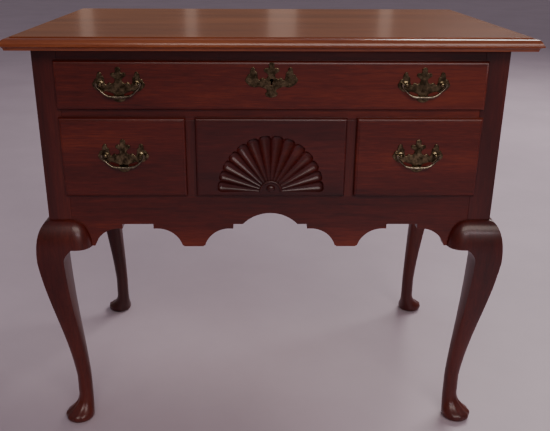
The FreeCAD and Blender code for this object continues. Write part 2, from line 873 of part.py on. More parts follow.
def drawer_boards(opening):
    """The sides, back and bottom behind a drawer front."""
    sides = new_body(f"{opening.name}_sides")
    length = (BACK_FACE - size.rabbet_depth, size.drawer_length)
    groove_y = (BACK_FACE - size.groove_depth, size.drawer_length + size.groove_depth)
    for outer, inner, way in zip(opening.box_x, opening.inner_x, (-1, 1)):
        add(sides, (outer, inner), length, opening.box_z)
        cut(sides, (inner + size.groove_depth * way, inner), groove_y, opening.bottom_z)
    back = new_body(f"{opening.name}_back")
    back_y = (size.drawer_length - size.side_thickness, size.drawer_length)
    add(back, opening.inner_x, back_y, (opening.bottom_z[1], opening.box_z[1] - size.back_drop))
    bottom = new_body(f"{opening.name}_bottom")
    reach = size.groove_depth - size.joint_gap
    across = (opening.inner_x[0] - reach, opening.inner_x[1] + reach)
    add(bottom, across, (BACK_FACE - reach, size.drawer_length), opening.bottom_z)


def carve_fan(body):
    """Hollow flutes that spread from a low hub, with a ridge between each two.

    A flute is one straight stroke of a gouge that starts at the hub and sinks
    on its way to the rim. It is turned about the fan's middle for the others."""
    ray = math.pi / FLUTES / 2
    stroke = size.fan_radius - size.fan_hub
    sink = math.asin(size.flute_depth.number / stroke.number)
    gouge = body.newObject("PartDesign::SubtractivePrism", "fan_flute")
    gouge.Polygon = FLUTE_FLATS
    bind(gouge, "Circumradius", size.gouge_radius)
    bind(gouge, "Height", stroke)
    level = Rotation(Vector(0, 1, 0), 90 - math.degrees(ray))
    down = Rotation(Vector(math.sin(ray), 0, -math.cos(ray)), -math.degrees(sink))
    half_flat = Rotation(Vector(0, 0, 1), 180 / FLUTE_FLATS)
    gouge.Placement = Placement(Vector(), down * level * half_flat)
    bind(gouge, "Placement.Base.x", size.fan_hub * math.cos(ray))
    bind(gouge, "Placement.Base.y", FRONT_FACE - size.gouge_radius)
    bind(gouge, "Placement.Base.z", FAN_MIDDLE + size.fan_hub * math.sin(ray))
    middle = sketch_on(body, "XZ_Plane")
    bind(middle, "AttachmentOffset.Base.y", FAN_MIDDLE)
    fan = body.newObject("PartDesign::PolarPattern", "fan_flutes")
    fan.Originals = [gouge]
    fan.Axis = (middle, ["N_Axis"])
    fan.Angle = 180 * (FLUTES - 1) / FLUTES
    fan.Occurrences = FLUTES
    body.Tip = fan


def drawers():
    openings = {
        "long_drawer": (-POST_INNER, POST_INNER, LONG_FLOOR, LONG_TOP),
        "left_drawer": (-POST_INNER, -DIVIDER_OUTER, SMALL_FLOOR, SMALL_TOP),
        "fan_drawer": (-CENTRE_HALF, CENTRE_HALF, SMALL_FLOOR, SMALL_TOP),
        "right_drawer": (DIVIDER_OUTER, POST_INNER, SMALL_FLOOR, SMALL_TOP),
    }
    fronts = {}
    for name, limits in openings.items():
        opening = Opening(name, *limits)
        fronts[name] = drawer_front(opening)
        drawer_boards(opening)
    carve_fan(fronts["fan_drawer"])
    return fronts


# ---- the brasses ---------------------------------------------------------

def batwing_half():
    """Right half of a bat-wing plate, from the bottom of its pendant up to the
    finial, in shares of the half width and of the bottom or the top."""
    pendant = ((0, 1), (0.14, 0.99), (0.26, 0.89), (0.32, 0.79), (0.24, 0.68), (0.28, 0.53))
    lower_wing = ((0.4, 0.41), (0.6, 0.34), (0.76, 0.37), (0.9, 0.25), (0.99, 0.06))
    upper_wing = ((0.98, 0.19), (0.87, 0.38), (0.76, 0.56), (0.7, 0.74), (0.61, 0.67), (0.57, 0.5))
    finial = ((0.45, 0.47), (0.28, 0.27), (0.18, 0.34), (0.14, 0.52), (0.25, 0.67), (0.24, 0.81))
    tip = ((0.1, 0.84), (0.06, 0.98), (0, 1))
    half, top, bottom = size.plate_half, size.plate_top, size.plate_bottom
    points = [(half * x, bottom * -y) for x, y in pendant + lower_wing]
    return points + [(half * x, top * y) for x, y in upper_wing + finial + tip]


def plate_pattern():
    """A flat bat-wing plate, drawn about its middle with its back on Y = 0."""
    body = pattern_body("batwing")
    right = batwing_half()
    sketch = sketch_on(body, "XZ_Plane")
    outline(sketch, right[:-1] + mirror(right)[:-1])
    pad(body, sketch, size.plate_thickness)
    return body


def posts_pattern():
    """Two posts with holes for the bail's pins, their shanks and square nuts."""
    body = pattern_body("post_pair")
    face = -size.plate_thickness
    neck = face - size.post_base
    hole = size.pivot_radius + size.pivot_gap
    nut = size.nut_size / 2
    nut_depth = (size.front_thickness, size.front_thickness + size.nut_thickness)
    for side in (-1, 1):
        middle = size.pull_spacing / 2 * side
        centre = (middle, 0)
        rod(body, "Additive", size.post_base_radius, centre, (neck, face), "y", POST_FLATS)
        head = (face - size.post_length, neck)
        rod(body, "Additive", size.post_radius, centre, head, "y", POST_FLATS)
        shank = (face, size.front_thickness + size.shank_end)
        rod(body, "Additive", size.shank_radius, centre, shank, "y")
        add(body, (middle - nut, middle + nut), nut_depth, (-nut, nut))
        through = (middle - size.post_base_radius, middle + size.post_base_radius)
        rod(body, "Subtractive", hole, (face - size.pivot_reach, 0), through, "x")
    return body


def bail_line(half):
    """The middle line of a bail in short flats: a corner, the bow, a corner."""
    corner = size.bail_corner
    bow = half * 2 - corner
    rise = (bow - corner) * math.sqrt(0.75)
    left = turned_points(corner - half, 0, corner, 180, 20, 3)
    return [(-half, 0)] + left + turned_points(0, rise, bow, 240, 10, 6) + mirror(left) + [(half, 0)]


def bail_pattern():
    """A drop handle: a bowed bar, with an eye and a pin at each end."""
    body = pattern_body("drop_handle")
    half = size.pull_spacing / 2 + size.bail_overhang
    path = sketch_on(body, "XZ_Plane")
    outline(path, bail_line(half), closed=False)
    section = sketch_on(body, "XY_Plane")
    even_outline(section, -half, 0, size.bail_radius, BAR_FLATS)
    bar = body.newObject("PartDesign::AdditivePipe", "drop_handle_bar")
    bar.Profile = section
    bar.Spine = path
    bar.Transition = "Right corner"
    inner = size.pull_spacing / 2 - size.post_radius * 0.8
    for side in (-1, 1):
        eye = (half - size.eye_radius, half + size.eye_radius)
        rod(body, "Additive", size.eye_radius, (0, 0), (eye[0] * side, eye[1] * side), "x")
        pin = (inner, half - size.bail_radius / 2)
        rod(body, "Additive", size.pivot_radius, (0, 0), (pin[0] * side, pin[1] * side), "x")
    return body


class PullPatterns:
    """The plate, the pair of posts and the bail that every pull is made of."""

    def __init__(self):
        self.plate = plate_pattern()
        self.posts = posts_pattern()
        self.bail = bail_pattern()


def bore_for_posts(body, x, z, span):
    bore = size.shank_radius + size.shank_gap
    for side in (-1, 1):
        rod(body, "Subtractive", bore, (x + size.pull_spacing / 2 * side, z), span, "y")


def pull(name, patterns, front, x, height):
    """A plate, its posts and its bail on a drawer front."""
    face = FRONT_Y + FRONT_FACE
    drop, clear = size.plate_drop, size.post_length
    back = new_body(f"{name}_plate", x, face, height - drop, pattern=patterns.plate)
    bore_for_posts(back, Size.of(0), drop, (-clear, clear))
    bore_for_posts(front, x, height, (FRONT_FACE - clear, BACK_FACE + clear))
    new_body(f"{name}_posts", x, face, height, pattern=patterns.posts)
    pivot = face - size.plate_thickness - size.pivot_reach
    new_body(f"{name}_bail", x, pivot, height, pattern=patterns.bail)


def cut_keyhole(body, z, span):
    """A round hole with a slot below it."""
    rod(body, "Subtractive", size.keyhole_radius, (0, z), span, "y")
    half = size.keyhole_radius / 2
    cut(body, (-half, half), span, (z - size.keyhole_slot, z))


def brasses(fronts):
    patterns = PullPatterns()
    x = (DIVIDER_OUTER + POST_INNER) / 2
    long_height = LONG_MIDDLE + size.long_pull_rise
    small_height = SMALL_MIDDLE + size.small_pull_rise
    pull("long_left_pull", patterns, fronts["long_drawer"], -x, long_height)
    pull("long_right_pull", patterns, fronts["long_drawer"], x, long_height)
    pull("left_pull", patterns, fronts["left_drawer"], -x, small_height)
    pull("right_pull", patterns, fronts["right_drawer"], x, small_height)
    key = LONG_MIDDLE + size.keyhole_rise
    through = (FRONT_FACE - size.post_length, BACK_FACE + size.lock_thickness * 2)
    cut_keyhole(fronts["long_drawer"], key, through)
    escutcheon = new_body("escutcheon", 0, FRONT_Y + FRONT_FACE, key, pattern=patterns.plate)
    cut_keyhole(escutcheon, Size.of(0), (-size.post_length, size.post_length))
    lock = new_body("drawer_lock")
    half_width, half_height = size.lock_width / 2, size.lock_height / 2
    depth = (BACK_FACE, BACK_FACE + size.lock_thickness)
    add(lock, (-half_width, half_width), depth, (key - half_height, key + half_height))
    cut_keyhole(lock, key, through)


# ---- the whole piece -----------------------------------------------------

def check():
    """Stops where a feature failed or a sub-part has no sound shape."""
    DOCUMENT.recompute()
    for thing in DOCUMENT.Objects:
        if "Invalid" in thing.State or "Error" in thing.State:
            raise RuntimeError(f"{thing.Name} has the state {thing.State}")
    for body in SUB_PARTS:
        if body.Shape.isNull() or not body.Shape.isValid():
            raise RuntimeError(f"{body.Label} has no sound shape")


def write_steps():
    os.makedirs("parts", exist_ok=True)
    for body in SUB_PARTS:
        body.Shape.exportStep(f"parts/{body.Label}.step")


top_board()
legs()
knee_blocks()
case_boards()
inner_frame()
top_screws()
glue_blocks()
brasses(drawers())
check()
write_steps()
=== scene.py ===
import bmesh
import bpy
import json
import math
from mathutils import Matrix, Vector


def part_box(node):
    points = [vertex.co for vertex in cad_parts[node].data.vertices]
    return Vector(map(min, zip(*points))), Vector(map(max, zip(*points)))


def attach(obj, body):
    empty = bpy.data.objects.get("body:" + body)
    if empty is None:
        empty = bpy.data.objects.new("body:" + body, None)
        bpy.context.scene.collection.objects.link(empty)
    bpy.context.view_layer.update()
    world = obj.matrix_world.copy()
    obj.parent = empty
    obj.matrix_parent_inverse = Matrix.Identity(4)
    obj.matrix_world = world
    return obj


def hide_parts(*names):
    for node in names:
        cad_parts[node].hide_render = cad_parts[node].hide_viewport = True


# A Queen Anne lowboy: the CAD nodes carry the shapes that move and bear load;
# here the edges are softened, the legs, fan and brasses are carved and turned
# more finely, and every surface gets its finish. Metres, front facing -Y.

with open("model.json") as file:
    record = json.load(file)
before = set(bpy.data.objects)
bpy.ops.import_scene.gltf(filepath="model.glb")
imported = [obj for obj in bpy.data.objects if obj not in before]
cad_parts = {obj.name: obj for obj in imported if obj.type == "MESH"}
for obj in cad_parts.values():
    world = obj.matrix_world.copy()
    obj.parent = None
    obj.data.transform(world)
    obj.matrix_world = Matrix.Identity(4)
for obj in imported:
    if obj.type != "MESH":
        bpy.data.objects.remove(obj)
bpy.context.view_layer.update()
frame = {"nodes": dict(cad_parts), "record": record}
MM = 0.001

BODY_OF = {node: body for body, nodes in frame["record"]["behaviour"]["bodies"].items() for node in nodes}
SLOT_OF = {part["node"]: part["material_slot"] for part in frame["record"]["subparts"]}

# ---- sizes, in millimetres -----------------------------------------------

# Legs. Insets are measured in from the post's two outer faces.
POST = 41               # side of the square post above a leg
LEDGE = 437             # height where the post meets the knee
KNEE = 360              # height where the knee is widest
KNEE_REACH = 25         # how far it stands out there
KNEE_INNER = 26         # inset of the leg's inner side there
BLOCK_FOOT = 386        # height of the knee blocks' underside
BLOCK_WIDTH = 32.5      # from the post along the case
ANKLE = 92              # height of the ankle
ANKLE_RADIUS = 14
ANKLE_INSET = 27.5      # to its middle
FOOT_TOP = 58           # height where the ankle starts to swell
PAD_RADIUS = 28
PAD_INSET = 15          # to its middle
PAD_HEIGHT = 9          # height where the foot is widest
SIDE_POINTS = 16        # along each side of a leg's section

# Drawer fronts.
FRONT = 22              # thickness
LIP = 9.5               # thickness of the lip that covers the case's edge
LIP_ROUND = 5           # radius round its edge
LIP_STEP = 0.8          # from there up to the flat face

# The fan, measured from the middle of its rays.
FAN_RISE = 9.7          # that middle above the drawer front's lower edge
FAN_HALF = 94           # reach to each side
FAN_HEIGHT = 102        # reach upwards
FAN_HUB = 20.5          # where the flutes start
FAN_RING = 18.5         # radius of the half ring
FAN_RING_TUBE = 2.3     # radius of its round section
FLUTES = 14
FLUTE_DEPTH = 9         # that a flute's sloping floor would come to at its outer end
FAN_BUTTON = (7.5, 4.8, 6.5)    # half its width, depth and height
FAN_BUTTON_RISE = 6

# Brasses.
PLATE_HALF = 0.8        # half a plate's thickness
PLATE_EDGE = 0.7        # radius round its edges
POSTS_HALF = 30         # from a pull's middle to a post
SHANK_RADIUS = 2.1
NUT_HALF = 4.5
NUT_THICKNESS = 4
PIVOT_REACH = 7.6       # a bail's pivot in front of the drawer
ARM_RADIUS = 1.4        # of a bail's slim arms
BAR_SWELL = 1.1         # how much stouter its lower bar is
KNUCKLE_RADIUS = 2.3
PIN_RADIUS = 1.4
PIN_LENGTH = 9
PIN_PLACE = 32          # middle of a pin from the middle of its bail
KEYHOLE_RADIUS = 3
KEYHOLE_DROP = 8
KEYHOLE_SLOT_HALF = 1.5

ROUND = math.sqrt(0.5)  # the squareness at which a leg's section is a circle


# ---- small tools ---------------------------------------------------------

def nothing_selected():
    """Leaves edit mode and clears the selection."""
    if bpy.context.object and bpy.context.object.mode == "EDIT":
        bpy.ops.object.mode_set(mode="OBJECT")
    bpy.ops.object.select_all(action="DESELECT")


def only(piece):
    """Makes one piece the selected and active one."""
    nothing_selected()
    piece.select_set(True)
    bpy.context.view_layer.objects.active = piece


def open_up(piece):
    """Goes into edit mode on one piece, with all of it selected."""
    only(piece)
    bpy.ops.object.mode_set(mode="EDIT")
    bpy.ops.mesh.select_all(action="SELECT")


def added(name, data):
    """A new object around a mesh, a curve, a lamp or a camera."""
    holder = bpy.data.objects.new(name, data)
    bpy.context.scene.collection.objects.link(holder)
    return holder


def named(name):
    """Names the piece that an operator has just made."""
    piece = bpy.context.object
    piece.name = name
    piece.data.name = name
    return piece


def settle(piece):
    """Puts the piece's place into its mesh, so that it sits at the origin."""
    only(piece)
    bpy.ops.object.transform_apply(location=True, rotation=True, scale=True)
    return piece


def copy_at(pattern, name, place, degrees=0):
    """A copy of a pattern with its own mesh, turned about the upright axis and
    moved to its place."""
    piece = added(name, pattern.data.copy())
    turn = Matrix.Rotation(math.radians(degrees), 4, "Z")
    piece.data.transform(Matrix.Translation(place) @ turn)
    return piece


def put_away(*pieces):
    """Takes patterns and cutters out of the scene when they have served."""
    for piece in pieces:
        bpy.data.objects.remove(piece)


def joined(name, *pieces):
    """Makes several pieces one."""
    nothing_selected()
    for piece in pieces:
        piece.select_set(True)
    bpy.context.view_layer.objects.active = pieces[0]
    bpy.ops.object.join()
    return named(name)


def turns(count):
    """Angles spread evenly round a circle."""
    return [2 * math.pi * number / count for number in range(count)]


def block(name, low, high):
    """A box between two corners, in metres."""
    nothing_selected()
    middle = (Vector(low) + Vector(high)) / 2
    bpy.ops.mesh.primitive_cube_add(size=1, location=middle)
    piece = named(name)
    piece.scale = Vector(high) - Vector(low)
    return settle(piece)


def drawn_out(name, rings):
    """A solid pulled out ring by ring from a filled circle, each ring's points
    placed in turn; used for what is turned or carved to a changing section."""
    nothing_selected()
    bpy.ops.mesh.primitive_circle_add(vertices=len(rings[0]), fill_type="NGON")
    piece = named(name)
    for vertex, point in zip(piece.data.vertices, rings[0]):
        vertex.co = point
    open_up(piece)
    for before, ring in zip(rings, rings[1:]):
        bpy.ops.mesh.extrude_region_move()
        mesh = bmesh.from_edit_mesh(piece.data)
        moving = [vertex for vertex in mesh.verts if vertex.select]
        for vertex in moving:
            nearest = min(range(len(before)), key=lambda i: (before[i] - vertex.co).length_squared)
            vertex.co = ring[nearest]
        bmesh.update_edit_mesh(piece.data)
    bpy.ops.mesh.select_all(action="SELECT")
    bpy.ops.mesh.normals_make_consistent(inside=False)
    bpy.ops.object.mode_set(mode="OBJECT")
    return piece


def worked(piece, modifier_type, **settings):
    """Applies a modifier to a piece."""
    only(piece)
    modifier = piece.modifiers.new(modifier_type, modifier_type)
    for name, value in settings.items():
        setattr(modifier, name, value)
    bpy.ops.object.modifier_apply(modifier=modifier.name)
    return piece


def merged(piece):
    """Joins points that all but touch, so that no sliver of a face is left."""
    gap = 0.05 * MM
    open_up(piece)
    bpy.ops.mesh.remove_doubles(threshold=gap)
    bpy.ops.mesh.dissolve_degenerate(threshold=gap / 10)
    bpy.ops.object.mode_set(mode="OBJECT")
    return piece


def bevelled(piece, width):
    """Rounds the sharp edges of a piece, as sandpaper and wear do."""
    sharp = math.radians(35)
    worked(piece, "BEVEL", width=width * MM, segments=3, limit_method="ANGLE", angle_limit=sharp)
    return merged(piece)


def smooth(piece, angle=35):
    """Shades the rounds smooth, while the broad flat faces stay flat."""
    only(piece)
    bpy.ops.object.shade_smooth_by_angle(angle=math.radians(angle))
    return worked(piece, "WEIGHTED_NORMAL", keep_sharp=True)


def finish(piece, material, body, slot, *nodes):
    """Gives a piece its finish, its body and the CAD nodes it stands for."""
    piece.data.materials.clear()
    piece.data.materials.append(material)
    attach(piece, body)
    if nodes:
        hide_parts(*nodes)
    return piece


def copy_of(node, name):
    """A merged copy of a CAD node's mesh, its flat faces made whole again."""
    piece = added(name, frame["nodes"][node].data.copy())
    open_up(piece)
    bpy.ops.mesh.remove_doubles(threshold=0.01 * MM)
    bpy.ops.mesh.dissolve_limited(angle_limit=math.radians(0.5))
    bpy.ops.object.mode_set(mode="OBJECT")
    return piece


# ---- materials -----------------------------------------------------------

def linear(hex_code):
    """An sRGB hex colour as the linear colour that the shader reads."""
    values = [int(hex_code[i:i + 2], 16) / 255 for i in (1, 3, 5)]
    return [v / 12.92 if v <= 0.04045 else ((v + 0.055) / 1.055) ** 2.4 for v in values] + [1]


def new_material(name):
    """A material with nothing in it yet."""
    material = bpy.data.materials.new(name)
    material.use_nodes = True
    material.node_tree.nodes.clear()
    return material


def add_node(owner, kind, sockets=None, stops=(), **settings):
    """Adds a node to a material or to the world.

    sockets gives an input, by its name or number, a value or another node's
    output. stops are the places and hex colours along a colour ramp."""
    node = owner.node_tree.nodes.new(kind)
    for name, value in settings.items():
        setattr(node, name, value)
    for socket, value in (sockets or {}).items():
        if isinstance(value, bpy.types.NodeSocket):
            owner.node_tree.links.new(value, node.inputs[socket])
        else:
            node.inputs[socket].default_value = value
    for number, (place, colour) in enumerate(stops):
        elements = node.color_ramp.elements
        element = elements[number] if number < len(elements) else elements.new(1)
        element.position, element.color = place, linear(colour)
    return node


def along_grain(material, turn):
    """Places on the piece, turned so that their X runs along the grain."""
    place = add_node(material, "ShaderNodeTexCoord").outputs["Object"]
    return add_node(material, "ShaderNodeMapping", {"Vector": place, "Rotation": turn}).outputs["Vector"]


def streaks(material, place, per_metre, detail, roughness, distortion=0):
    """An uneven pattern that changes so many times a metre along each axis."""
    drawn = add_node(material, "ShaderNodeMapping", {"Vector": place, "Scale": per_metre}).outputs["Vector"]
    look = {"Vector": drawn, "Scale": 1, "Detail": detail, "Roughness": roughness, "Distortion": distortion}
    return add_node(material, "ShaderNodeTexNoise", look).outputs["Fac"]


def stained_wood(name, turn, colours, roughness, coat):
    """Cherry, planed, stained and lacquered: an even red-brown with a faint
    broad figure, thin growth lines, and short pores that only just show.

    turn lays the grain along the board; colours go from dark to light."""
    material = new_material(name)
    place = along_grain(material, turn)
    # Figure: bands about 90 mm wide and 600 mm long.
    figure = streaks(material, place, (1.7, 11, 11), 2, 0.5, 0.4)
    # Growth lines: about 4 mm apart, drawn out fifteen times along the board.
    growth = streaks(material, place, (16, 240, 240), 4, 0.6, 0.3)
    # Pores: 1 mm wide here, coarser than cherry's own, so that they show.
    pores = streaks(material, place, (60, 900, 900), 2, 0.5)
    blend = figure
    for layer, share in ((growth, 0.5), (pores, 0.3)):
        layers = {0: layer, 1: share, 2: blend}
        blend = add_node(material, "ShaderNodeMath", layers, operation="MULTIPLY_ADD").outputs["Value"]
    depth = add_node(material, "ShaderNodeMapRange", {"Value": blend, "From Min": 0.65, "From Max": 1.15})
    colour = add_node(material, "ShaderNodeValToRGB", {"Fac": depth.outputs["Result"]},
                      stops=zip((0, 0.5, 1), colours))
    bump = add_node(material, "ShaderNodeBump", {"Height": pores, "Strength": 0.05, "Distance": 0.2 * MM})
    shader = add_node(material, "ShaderNodeBsdfPrincipled", {
        "Base Color": colour.outputs["Color"], "Roughness": roughness, "Normal": bump.outputs["Normal"],
        "Coat Weight": coat, "Coat Roughness": 0.15, "IOR": 1.45})
    add_node(material, "ShaderNodeOutputMaterial", {"Surface": shader.outputs["BSDF"]})
    return material


def bare_wood(name, turn, dark, light):
    """Poplar, sawn and left unfinished inside: pale, dry and straight-grained."""
    material = new_material(name)
    # Growth lines: about 8 mm wide and 200 mm long.
    growth = streaks(material, along_grain(material, turn), (5, 120, 120), 5, 0.6)
    colour = add_node(material, "ShaderNodeValToRGB", {"Fac": growth}, stops=((0.3, dark), (0.7, light)))
    bump = add_node(material, "ShaderNodeBump", {"Height": growth, "Strength": 0.15, "Distance": 0.3 * MM})
    shader = add_node(material, "ShaderNodeBsdfPrincipled", {
        "Base Color": colour.outputs["Color"], "Roughness": 0.75, "Normal": bump.outputs["Normal"]})
    add_node(material, "ShaderNodeOutputMaterial", {"Surface": shader.outputs["BSDF"]})
    return material


def old_brass(name, dark, bright, roughest, glossiest):
    """Cast brass, long unpolished: brown-olive tarnish, worn paler in patches,
    which are the glossier ones too."""
    material = new_material(name)
    place = add_node(material, "ShaderNodeTexCoord").outputs["Object"]
    # Tarnish comes in patches about 8 mm across.
    patches = add_node(material, "ShaderNodeTexNoise", {
        "Vector": place, "Scale": 120, "Detail": 5, "Roughness": 0.65}).outputs["Fac"]
    colour = add_node(material, "ShaderNodeValToRGB", {"Fac": patches}, stops=((0.4, dark), (0.66, bright)))
    rough = add_node(material, "ShaderNodeMapRange", {
        "Value": patches, "From Min": 0.3, "From Max": 0.7, "To Min": roughest, "To Max": glossiest})
    # The casting's own unevenness, about 3 mm across, breaks up its highlights.
    pits = add_node(material, "ShaderNodeTexNoise", {
        "Vector": place, "Scale": 330, "Detail": 3, "Roughness": 0.6}).outputs["Fac"]
    bump = add_node(material, "ShaderNodeBump", {"Height": pits, "Strength": 0.5, "Distance": 0.6 * MM})
    shader = add_node(material, "ShaderNodeBsdfPrincipled", {
        "Base Color": colour.outputs["Color"], "Metallic": 1, "Roughness": rough.outputs["Result"],
        "Normal": bump.outputs["Normal"]})
    add_node(material, "ShaderNodeOutputMaterial", {"Surface": shader.outputs["BSDF"]})
    return material


def dull_steel(name):
    """Zinc-plated steel gone dull, for the lock and the screws: grey, faintly
    mottled and soft in its shine."""
    material = new_material(name)
    place = add_node(material, "ShaderNodeTexCoord").outputs["Object"]
    # Mottle: spots about 3 mm across.
    mottle = add_node(material, "ShaderNodeTexNoise", {"Vector": place, "Scale": 300, "Detail": 3})
    colour = add_node(material, "ShaderNodeValToRGB", {"Fac": mottle.outputs["Fac"]},
                      stops=((0.3, "#6a675f"), (0.7, "#8f8b80")))
    shader = add_node(material, "ShaderNodeBsdfPrincipled", {
        "Base Color": colour.outputs["Color"], "Metallic": 1, "Roughness": 0.42})
    add_node(material, "ShaderNodeOutputMaterial", {"Surface": shader.outputs["BSDF"]})
    return material


def floor_finish():
    """Pale sheet flooring, lightly soiled, with a faint sheen."""
    material = new_material("pale_vinyl_floor")
    place = add_node(material, "ShaderNodeTexCoord").outputs["Object"]
    # Soiling: clouds about half a metre across.
    clouds = add_node(material, "ShaderNodeTexNoise", {
        "Vector": place, "Scale": 2.2, "Detail": 6, "Roughness": 0.6}).outputs["Fac"]
    colour = add_node(material, "ShaderNodeValToRGB", {"Fac": clouds},
                      stops=((0.3, "#c4b5c2"), (0.7, "#d0c1ce"))).outputs["Color"]
    shader = add_node(material, "ShaderNodeBsdfPrincipled", {"Base Color": colour, "Roughness": 0.5})
    add_node(material, "ShaderNodeOutputMaterial", {"Surface": shader.outputs["BSDF"]})
    return material


ALONG_X = (0, 0, 0)
ALONG_Y = (0, 0, math.pi / 2)
ALONG_Z = (0, math.pi / 2, 0)
FRONT_STAIN = ("#360a07", "#581910", "#782d19")
FAN_STAIN = ("#300907", "#4a130f", "#68241a")
CASE_STAIN = ("#360c09", "#4c1510", "#622318")
TOP_STAIN = ("#6c3019", "#864425", "#9e5932")
POPLAR = ("#a98a5f", "#cbb085")

CHERRY_ACROSS = stained_wood("stained_cherry_across", ALONG_X, FRONT_STAIN, roughness=0.34, coat=0.15)
CHERRY_FAN = stained_wood("stained_cherry_fan_board", ALONG_X, FAN_STAIN, roughness=0.34, coat=0.2)
CHERRY_UPRIGHT = stained_wood("stained_cherry_upright", ALONG_Z, CASE_STAIN, roughness=0.35, coat=0.2)
CHERRY_DEEP = stained_wood("stained_cherry_deep", ALONG_Y, CASE_STAIN, roughness=0.34, coat=0.15)
CHERRY_TOP = stained_wood("polished_cherry_top", ALONG_X, TOP_STAIN, roughness=0.22, coat=0.35)
POPLAR_ACROSS = bare_wood("bare_poplar_across", ALONG_X, *POPLAR)
POPLAR_DEEP = bare_wood("bare_poplar_deep", ALONG_Y, *POPLAR)
BRASS = old_brass("tarnished_brass", "#403829", "#8c7e60", roughest=0.32, glossiest=0.16)
# A bail is rubbed by hands, so it is paler and glossier than its plate.
HANDLED_BRASS = old_brass("handled_brass", "#544c3e", "#9a907c", roughest=0.28, glossiest=0.12)
STEEL = dull_steel("dull_steel")


def finish_for(node):
    """The finish of a CAD node, by what the piece is cut from."""
    slot = SLOT_OF[node]
    if slot == "inner_wood":
        return POPLAR_ACROSS if node.endswith(("_back", "back_panel")) else POPLAR_DEEP
    if slot == "case_wood":
        if node.startswith(("leg_", "drawer_divider", "knee_block")):
            return CHERRY_UPRIGHT
        return CHERRY_DEEP if node.startswith("side_panel") else CHERRY_ACROSS
    return {"brass": BRASS, "steel": STEEL, "top_wood": CHERRY_TOP}[slot]


# ---- legs and knee blocks ------------------------------------------------

def case_edges():
    """Where the case's left side, front, rear and top lie, in metres. Its right
    side lies as far from the middle as its left."""
    side_low, side_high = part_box("side_panel_left")
    front_low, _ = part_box("front_apron")
    _, knee_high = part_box("leg_rear_left")
    return side_low.x, front_low.y, knee_high.y - KNEE_REACH * MM, side_high.z


def knee_profile(height):
    """How far a knee stands out at a height: it rolls over from nothing at the
    ledge to its full reach where it is widest."""
    share = min(1, (LEDGE - height) / (LEDGE - KNEE))
    return KNEE_REACH * (1 - (1 - share) ** 2.5) ** (1 / 1.9)


def foot_ribs(direction, height):
    """How far a pad foot's ribs stand out in a direction: most of all on the
    corner's outward diagonal, with hollows between them."""
    away = direction + math.pi * 0.75
    away = (away + math.pi) % (2 * math.pi) - math.pi
    apart, spread, hollow = 0.62, 1.05, 0.4
    ribs = math.cos(2 * math.pi * away / apart) - hollow
    return height * ribs * math.exp(-(away / spread) ** 4)


def cushion(height, outer, inner, squareness, ribs=0):
    """A level section of a leg, in the frame of its corner: a square from outer
    to inner both ways, whose sides bow out more as squareness falls.

    ribs is how far the ribs of a pad foot stand out."""
    middle, half = (outer + inner) / 2, (inner - outer) / 2
    bow = 1 - squareness
    bend = (squareness ** 2 + bow ** 2) / (2 * bow)
    open_angle = math.asin(squareness / bend)
    points = []
    for side in range(4):
        turn = math.pi / 2 * side
        for step in range(SIDE_POINTS):
            angle = open_angle * (2 * step / SIDE_POINTS - 1)
            x, y = bend * math.sin(angle), -bend * math.cos(angle) + bend - 1
            x, y = x * math.cos(turn) - y * math.sin(turn), x * math.sin(turn) + y * math.cos(turn)
            swell = 1 + foot_ribs(math.atan2(y, x), ribs) / half
            points.append(Vector((middle + half * x * swell, middle + half * y * swell, height)) * MM)
    return points


def foot_curve():
    """The pad foot from its top down: height, growth from the ankle's radius to
    the pad's, slide from the ankle's inset to the pad's, and height of ribs."""
    edge_top = 14
    curve = [(FOOT_TOP + 16, 0, 0, 0), (FOOT_TOP, 0.01, 0.01, 0)]
    for step in range(1, 15):
        share = step / 14
        growth = 0.95 * share ** 3
        height = FOOT_TOP - (FOOT_TOP - edge_top) * share
        curve.append((height, growth, growth, 1.3 * math.sin(math.pi / 2 * share) ** 3))
    return curve + [
        (PAD_HEIGHT + 2, 0.99, 0.99, 1.2), (PAD_HEIGHT, 1, 1, 1), (PAD_HEIGHT - 2, 1, 1, 0.7),
        (5, 0.97, 1, 0.4), (3, 0.9, 1, 0.2), (1.2, 0.76, 1, 0), (0, 0.56, 1, 0),
    ]


def leg_rings():
    """Sections from inside the post down to the sole of the pad foot."""
    inset = 0.5
    rings = [cushion(LEDGE + above, inset, POST - inset, 0.99) for above in (6, 0.01)]
    # Over the knee, as deep inside as the post.
    for step in range(15):
        share = 1 - math.cos(math.pi / 2 * step / 14)
        height = LEDGE * (1 - share) + BLOCK_FOOT * share
        rings.append(cushion(height, -knee_profile(height), POST, 0.985 - 0.02 * share))
    # Down to the widest point, while the inner side draws in.
    for step in range(1, 7):
        share = step / 7
        height = BLOCK_FOOT * (1 - share) + KNEE * share
        inner = KNEE_INNER + (POST - KNEE_INNER) * (1 - math.sin(math.pi / 2 * share)) ** 1.3
        rings.append(cushion(height, -knee_profile(height), inner, 0.965 - 0.025 * share))
    # Down to the ankle, turning from square to round.
    for step in range(25):
        share = step / 24
        knee = 0.6 * (1 - share) + 0.2 * (1 + math.cos(math.pi * share))
        ankle = 1 - knee
        height = KNEE * (1 - share) + ANKLE * share
        outer = (ANKLE_INSET - ANKLE_RADIUS) * ankle - KNEE_REACH * knee
        inner = KNEE_INNER * knee + (ANKLE_INSET + ANKLE_RADIUS) * ankle
        rings.append(cushion(height, outer, inner, 0.94 * knee + ROUND * ankle))
    for height, growth, slide, ribs in foot_curve():
        radius = ANKLE_RADIUS * (1 - growth) + PAD_RADIUS * growth
        middle = ANKLE_INSET * (1 - slide) + PAD_INSET * slide
        rings.append(cushion(height, middle - radius, middle + radius, ROUND, ribs))
    return rings


